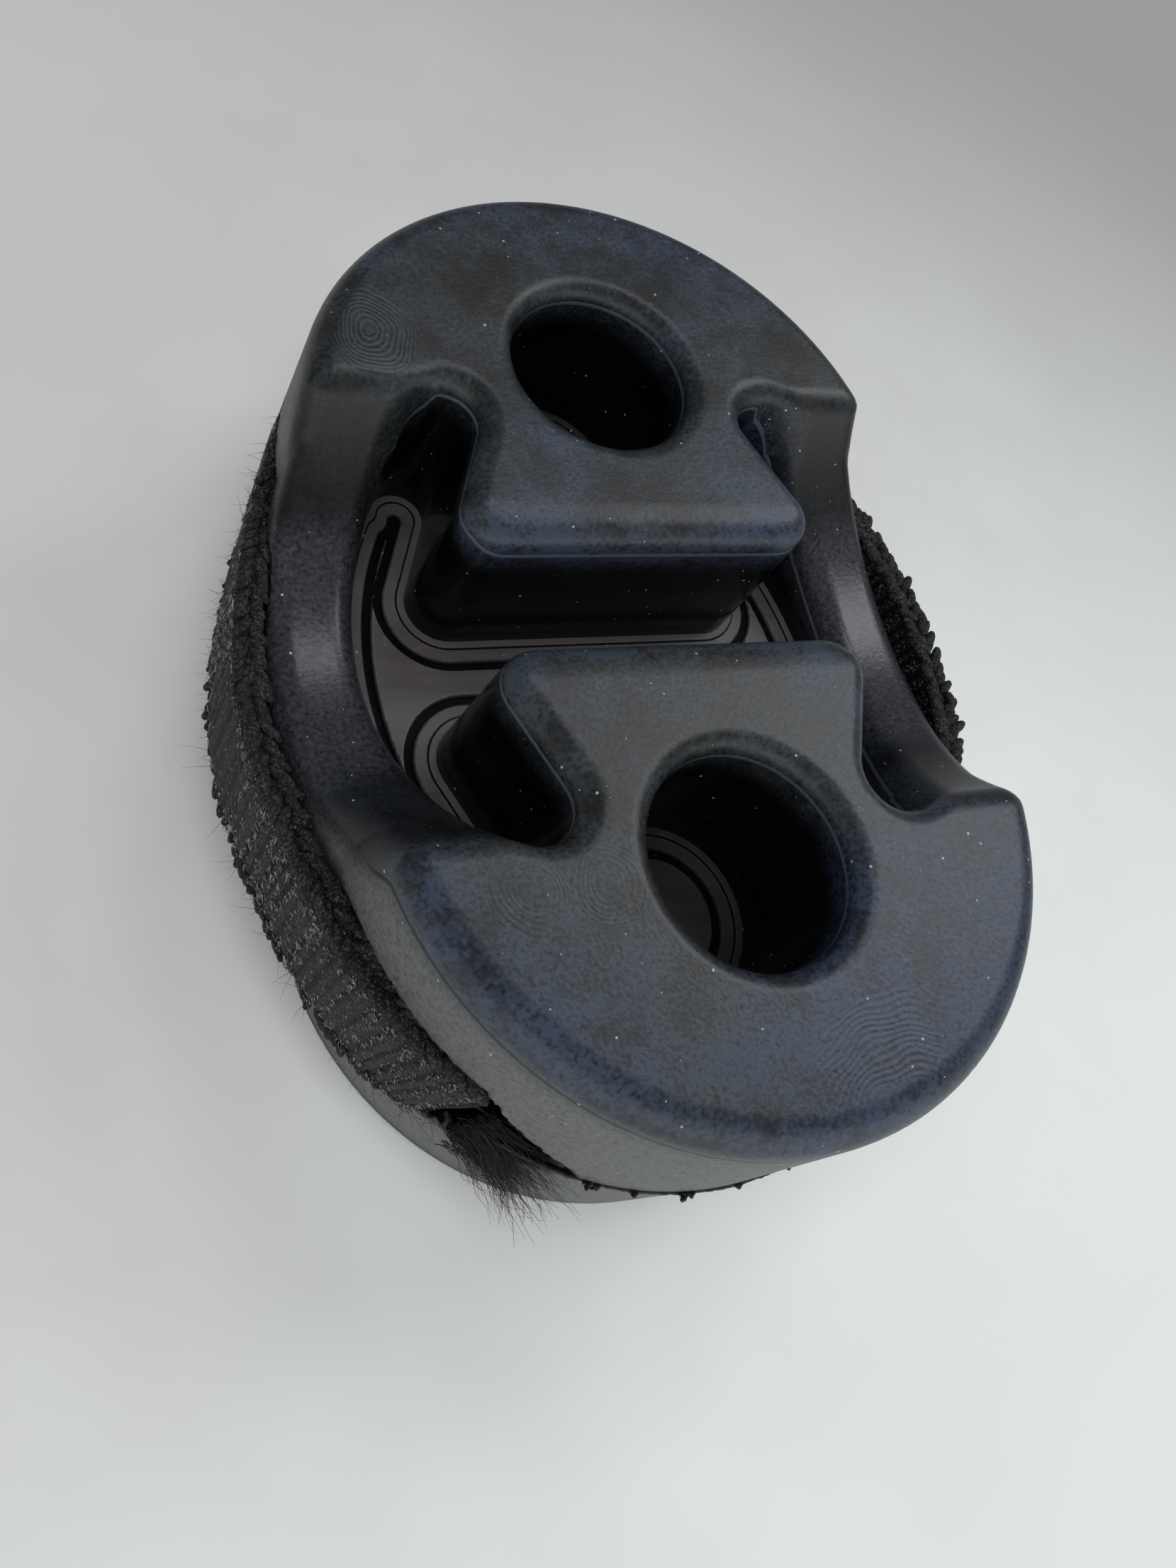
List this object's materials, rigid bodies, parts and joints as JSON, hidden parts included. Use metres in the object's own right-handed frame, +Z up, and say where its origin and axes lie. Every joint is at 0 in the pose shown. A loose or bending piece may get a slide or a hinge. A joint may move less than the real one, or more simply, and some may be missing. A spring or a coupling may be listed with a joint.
{
  "type": "exhaust hanger rubber",
  "caption": "Moulded rubber hanger block with a hanger bore at each end, facing bump stops across a gap, thin outer arms and a woven webbing band moulded in round it.",
  "frame": {"origin": "centre of the underside, on the surface the block lies on", "axes": "+X across the arms, +Y from one hanger bore to the other, +Z up through the depth of the block, along the bores"},
  "size_m": [0.0815, 0.1036, 0.0414],
  "materials": {
    "rubber": "semi-matte moulded rubber with a faint bloom",
    "webbing": "black ribbed woven band"
  },
  "bodies": {
    "root": {"rubber_body": "rubber", "webbing_band": "webbing"}
  },
  "joints": []
}
